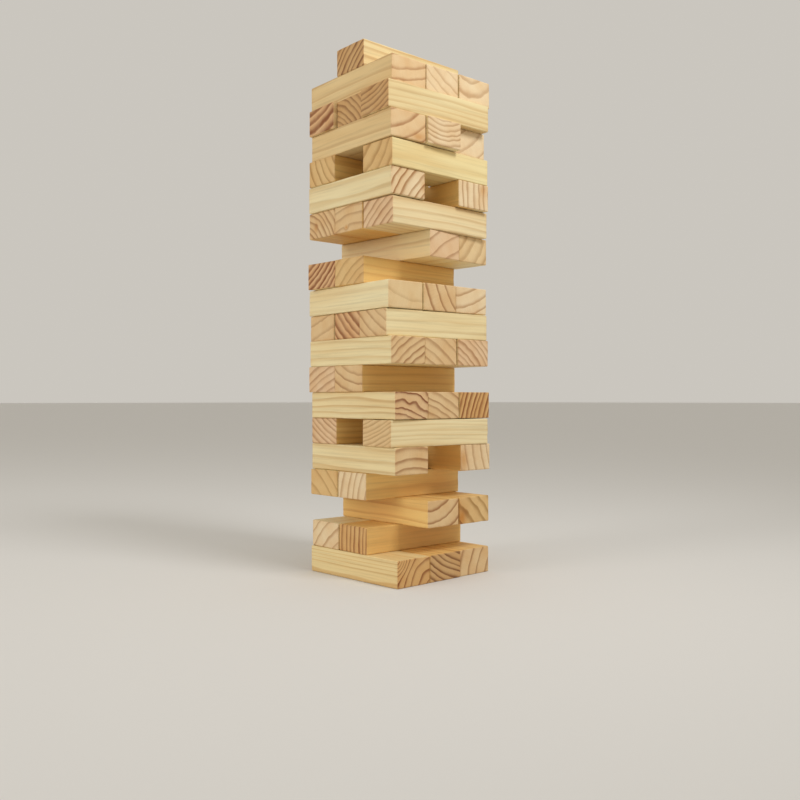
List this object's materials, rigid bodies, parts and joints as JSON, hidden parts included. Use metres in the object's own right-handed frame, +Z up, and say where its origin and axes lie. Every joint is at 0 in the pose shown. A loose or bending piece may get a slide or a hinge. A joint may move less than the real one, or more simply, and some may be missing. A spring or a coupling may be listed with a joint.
{
  "type": "tumbling tower game",
  "caption": "Tower of crossed pine blocks part way through a game, with gaps where blocks were pulled out and set back on top.",
  "frame": {"origin": "centre of the underside of the bottom layer's middle block, on the surface the tower stands on", "axes": "+Z up the tower; +X along the blocks of the odd layers, towards their end grain in the reference view; +Y along the blocks of the even layers, away from their end grain in that view"},
  "size_m": [0.0841, 0.0823, 0.3],
  "materials": {
    "pine": "sanded bare pine, satin, with eased edges"
  },
  "bodies": {
    "layer_01_front": {"layer_01_front": "pine"},
    "layer_01_middle": {"layer_01_middle": "pine"},
    "layer_01_back": {"layer_01_back": "pine"},
    "layer_02_left": {"layer_02_left": "pine"},
    "layer_02_middle": {"layer_02_middle": "pine"},
    "layer_03_middle": {"layer_03_middle": "pine"},
    "layer_03_back": {"layer_03_back": "pine"},
    "layer_04_left": {"layer_04_left": "pine"},
    "layer_04_middle": {"layer_04_middle": "pine"},
    "layer_05_front": {"layer_05_front": "pine"},
    "layer_05_back": {"layer_05_back": "pine"},
    "layer_06_left": {"layer_06_left": "pine"},
    "layer_06_right": {"layer_06_right": "pine"},
    "layer_07_front": {"layer_07_front": "pine"},
    "layer_07_middle": {"layer_07_middle": "pine"},
    "layer_07_back": {"layer_07_back": "pine"},
    "layer_08_left": {"layer_08_left": "pine"},
    "layer_08_middle": {"layer_08_middle": "pine"},
    "layer_09_front": {"layer_09_front": "pine"},
    "layer_09_middle": {"layer_09_middle": "pine"},
    "layer_09_back": {"layer_09_back": "pine"},
    "layer_10_left": {"layer_10_left": "pine"},
    "layer_10_middle": {"layer_10_middle": "pine"},
    "layer_10_right": {"layer_10_right": "pine"},
    "layer_11_front": {"layer_11_front": "pine"},
    "layer_11_middle": {"layer_11_middle": "pine"},
    "layer_11_back": {"layer_11_back": "pine"},
    "layer_12_left": {"layer_12_left": "pine"},
    "layer_12_middle": {"layer_12_middle": "pine"},
    "layer_13_middle": {"layer_13_middle": "pine"},
    "layer_13_back": {"layer_13_back": "pine"},
    "layer_14_left": {"layer_14_left": "pine"},
    "layer_14_middle": {"layer_14_middle": "pine"},
    "layer_14_right": {"layer_14_right": "pine"},
    "layer_15_front": {"layer_15_front": "pine"},
    "layer_15_back": {"layer_15_back": "pine"},
    "layer_16_left": {"layer_16_left": "pine"},
    "layer_16_right": {"layer_16_right": "pine"},
    "layer_17_front": {"layer_17_front": "pine"},
    "layer_17_middle": {"layer_17_middle": "pine"},
    "layer_17_back": {"layer_17_back": "pine"},
    "layer_18_left": {"layer_18_left": "pine"},
    "layer_18_middle": {"layer_18_middle": "pine"},
    "layer_18_right": {"layer_18_right": "pine"},
    "layer_19_front": {"layer_19_front": "pine"},
    "layer_19_middle": {"layer_19_middle": "pine"},
    "layer_19_back": {"layer_19_back": "pine"},
    "layer_20_middle": {"layer_20_middle": "pine"}
  },
  "joints": [
    {"name": "layer_01_front_slide", "type": "slide", "parent": "layer_01_middle", "child": "layer_01_front", "axis": [0.9994, 0.0349, 0], "range_m": [-0.08, 0.08]},
    {"name": "layer_01_back_slide", "type": "slide", "parent": "layer_01_middle", "child": "layer_01_back", "axis": [0.9994, 0.0349, 0], "range_m": [-0.08, 0.08]},
    {"name": "layer_02_left_slide", "type": "slide", "parent": "layer_01_middle", "child": "layer_02_left", "axis": [0, 1, 0], "range_m": [-0.08, 0.08]},
    {"name": "layer_02_middle_slide", "type": "slide", "parent": "layer_01_middle", "child": "layer_02_middle", "axis": [0, 1, 0], "range_m": [-0.08, 0.08]},
    {"name": "layer_03_middle_slide", "type": "slide", "parent": "layer_01_middle", "child": "layer_03_middle", "axis": [0.9998, 0.0175, 0], "range_m": [-0.08, 0.08]},
    {"name": "layer_03_back_slide", "type": "slide", "parent": "layer_01_middle", "child": "layer_03_back", "axis": [0.9998, 0.0175, 0], "range_m": [-0.08, 0.08]},
    {"name": "layer_04_left_slide", "type": "slide", "parent": "layer_01_middle", "child": "layer_04_left", "axis": [-0.0175, 0.9998, 0], "range_m": [-0.08, 0.08]},
    {"name": "layer_04_middle_slide", "type": "slide", "parent": "layer_01_middle", "child": "layer_04_middle", "axis": [-0.0175, 0.9998, 0], "range_m": [-0.08, 0.08]},
    {"name": "layer_05_front_slide", "type": "slide", "parent": "layer_01_middle", "child": "layer_05_front", "axis": [1, 0.0087, 0], "range_m": [-0.08, 0.08]},
    {"name": "layer_05_back_slide", "type": "slide", "parent": "layer_01_middle", "child": "layer_05_back", "axis": [1, 0.0087, 0], "range_m": [-0.08, 0.08]},
    {"name": "layer_06_left_slide", "type": "slide", "parent": "layer_01_middle", "child": "layer_06_left", "axis": [0.0262, 0.9997, 0], "range_m": [-0.08, 0.08]},
    {"name": "layer_06_right_slide", "type": "slide", "parent": "layer_01_middle", "child": "layer_06_right", "axis": [0.0262, 0.9997, 0], "range_m": [-0.08, 0.08]},
    {"name": "layer_07_front_slide", "type": "slide", "parent": "layer_01_middle", "child": "layer_07_front", "axis": [1, 0.0087, 0], "range_m": [-0.08, 0.08]},
    {"name": "layer_07_middle_slide", "type": "slide", "parent": "layer_01_middle", "child": "layer_07_middle", "axis": [1, 0.0087, 0], "range_m": [-0.08, 0.08]},
    {"name": "layer_07_back_slide", "type": "slide", "parent": "layer_01_middle", "child": "layer_07_back", "axis": [1, 0.0087, 0], "range_m": [-0.08, 0.08]},
    {"name": "layer_08_left_slide", "type": "slide", "parent": "layer_01_middle", "child": "layer_08_left", "axis": [-0.0175, 0.9998, 0], "range_m": [-0.08, 0.08]},
    {"name": "layer_08_middle_slide", "type": "slide", "parent": "layer_01_middle", "child": "layer_08_middle", "axis": [-0.0175, 0.9998, 0], "range_m": [-0.08, 0.08]},
    {"name": "layer_09_front_slide", "type": "slide", "parent": "layer_01_middle", "child": "layer_09_front", "axis": [1, -0.0087, 0], "range_m": [-0.08, 0.08]},
    {"name": "layer_09_middle_slide", "type": "slide", "parent": "layer_01_middle", "child": "layer_09_middle", "axis": [1, -0.0087, 0], "range_m": [-0.08, 0.08]},
    {"name": "layer_09_back_slide", "type": "slide", "parent": "layer_01_middle", "child": "layer_09_back", "axis": [1, -0.0087, 0], "range_m": [-0.08, 0.08]},
    {"name": "layer_10_left_slide", "type": "slide", "parent": "layer_01_middle", "child": "layer_10_left", "axis": [0.061, 0.9981, 0], "range_m": [-0.08, 0.08]},
    {"name": "layer_10_middle_slide", "type": "slide", "parent": "layer_01_middle", "child": "layer_10_middle", "axis": [0.061, 0.9981, 0], "range_m": [-0.08, 0.08]},
    {"name": "layer_10_right_slide", "type": "slide", "parent": "layer_01_middle", "child": "layer_10_right", "axis": [0.061, 0.9981, 0], "range_m": [-0.08, 0.08]},
    {"name": "layer_11_front_slide", "type": "slide", "parent": "layer_01_middle", "child": "layer_11_front", "axis": [0.9997, -0.0262, 0], "range_m": [-0.08, 0.08]},
    {"name": "layer_11_middle_slide", "type": "slide", "parent": "layer_01_middle", "child": "layer_11_middle", "axis": [0.9997, -0.0262, 0], "range_m": [-0.08, 0.08]},
    {"name": "layer_11_back_slide", "type": "slide", "parent": "layer_01_middle", "child": "layer_11_back", "axis": [0.9997, -0.0262, 0], "range_m": [-0.08, 0.08]},
    {"name": "layer_12_left_slide", "type": "slide", "parent": "layer_01_middle", "child": "layer_12_left", "axis": [-0.0436, 0.999, 0], "range_m": [-0.08, 0.08]},
    {"name": "layer_12_middle_slide", "type": "slide", "parent": "layer_01_middle", "child": "layer_12_middle", "axis": [-0.0436, 0.999, 0], "range_m": [-0.08, 0.08]},
    {"name": "layer_13_middle_slide", "type": "slide", "parent": "layer_01_middle", "child": "layer_13_middle", "axis": [0.9981, 0.061, 0], "range_m": [-0.08, 0.08]},
    {"name": "layer_13_back_slide", "type": "slide", "parent": "layer_01_middle", "child": "layer_13_back", "axis": [0.9981, 0.061, 0], "range_m": [-0.08, 0.08]},
    {"name": "layer_14_left_slide", "type": "slide", "parent": "layer_01_middle", "child": "layer_14_left", "axis": [-0.0087, 1, 0], "range_m": [-0.08, 0.08]},
    {"name": "layer_14_middle_slide", "type": "slide", "parent": "layer_01_middle", "child": "layer_14_middle", "axis": [-0.0087, 1, 0], "range_m": [-0.08, 0.08]},
    {"name": "layer_14_right_slide", "type": "slide", "parent": "layer_01_middle", "child": "layer_14_right", "axis": [-0.0087, 1, 0], "range_m": [-0.08, 0.08]},
    {"name": "layer_15_front_slide", "type": "slide", "parent": "layer_01_middle", "child": "layer_15_front", "axis": [1, 0, 0], "range_m": [-0.08, 0.08]},
    {"name": "layer_15_back_slide", "type": "slide", "parent": "layer_01_middle", "child": "layer_15_back", "axis": [1, 0, 0], "range_m": [-0.08, 0.08]},
    {"name": "layer_16_left_slide", "type": "slide", "parent": "layer_01_middle", "child": "layer_16_left", "axis": [0, 1, 0], "range_m": [-0.08, 0.08]},
    {"name": "layer_16_right_slide", "type": "slide", "parent": "layer_01_middle", "child": "layer_16_right", "axis": [0, 1, 0], "range_m": [-0.08, 0.08]},
    {"name": "layer_17_front_slide", "type": "slide", "parent": "layer_01_middle", "child": "layer_17_front", "axis": [0.9994, -0.0349, 0], "range_m": [-0.08, 0.08]},
    {"name": "layer_17_middle_slide", "type": "slide", "parent": "layer_01_middle", "child": "layer_17_middle", "axis": [0.9994, -0.0349, 0], "range_m": [-0.08, 0.08]},
    {"name": "layer_17_back_slide", "type": "slide", "parent": "layer_01_middle", "child": "layer_17_back", "axis": [0.9994, -0.0349, 0], "range_m": [-0.08, 0.08]},
    {"name": "layer_18_left_slide", "type": "slide", "parent": "layer_01_middle", "child": "layer_18_left", "axis": [0.0436, 0.999, 0], "range_m": [-0.08, 0.08]},
    {"name": "layer_18_middle_slide", "type": "slide", "parent": "layer_01_middle", "child": "layer_18_middle", "axis": [0.0436, 0.999, 0], "range_m": [-0.08, 0.08]},
    {"name": "layer_18_right_slide", "type": "slide", "parent": "layer_01_middle", "child": "layer_18_right", "axis": [0.0436, 0.999, 0], "range_m": [-0.08, 0.08]},
    {"name": "layer_19_front_slide", "type": "slide", "parent": "layer_01_middle", "child": "layer_19_front", "axis": [0.9998, -0.0175, 0], "range_m": [-0.08, 0.08]},
    {"name": "layer_19_middle_slide", "type": "slide", "parent": "layer_01_middle", "child": "layer_19_middle", "axis": [0.9998, -0.0175, 0], "range_m": [-0.08, 0.08]},
    {"name": "layer_19_back_slide", "type": "slide", "parent": "layer_01_middle", "child": "layer_19_back", "axis": [0.9998, -0.0175, 0], "range_m": [-0.08, 0.08]},
    {"name": "layer_20_middle_lift", "type": "slide", "parent": "layer_01_middle", "child": "layer_20_middle", "axis": [0, 0, 1], "range_m": [0, 0.08]}
  ]
}
